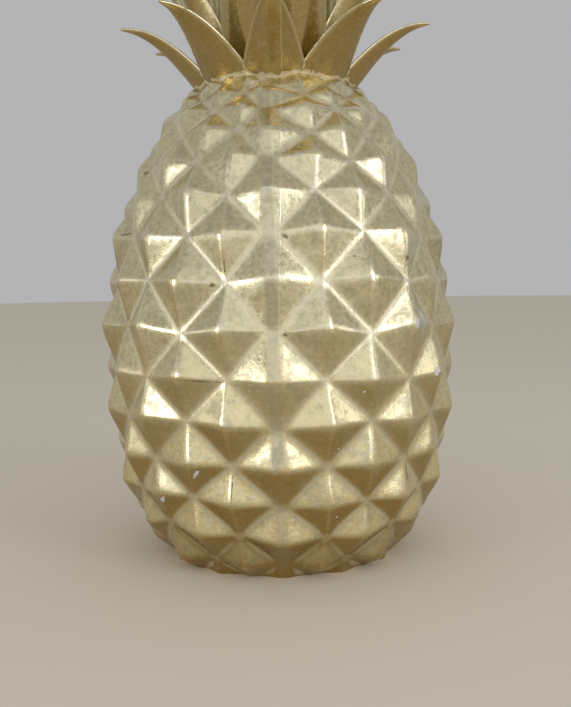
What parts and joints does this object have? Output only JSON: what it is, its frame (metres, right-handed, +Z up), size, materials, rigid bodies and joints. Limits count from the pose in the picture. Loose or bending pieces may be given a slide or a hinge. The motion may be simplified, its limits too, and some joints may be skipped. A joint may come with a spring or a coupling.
{
  "type": "pineapple ornament",
  "caption": "Free-standing gold pineapple: an egg-shaped fruit covered with raised diamond points, flat below, with a crown of pointed leaves.",
  "frame": {"origin": "middle of the flat underside that the ornament stands on", "axes": "+Z up, through the fruit and the crown; -Y towards the viewer, the side of the mould seam that the picture shows"},
  "size_m": [0.17, 0.1676, 0.3708],
  "materials": {
    "antique_gold": "satin metallic antique-gold paint over a cast body, with greyish mottling, rubbed brighter ridges and a few small white chips"
  },
  "bodies": {
    "root": {"pineapple": "antique_gold"}
  },
  "joints": []
}
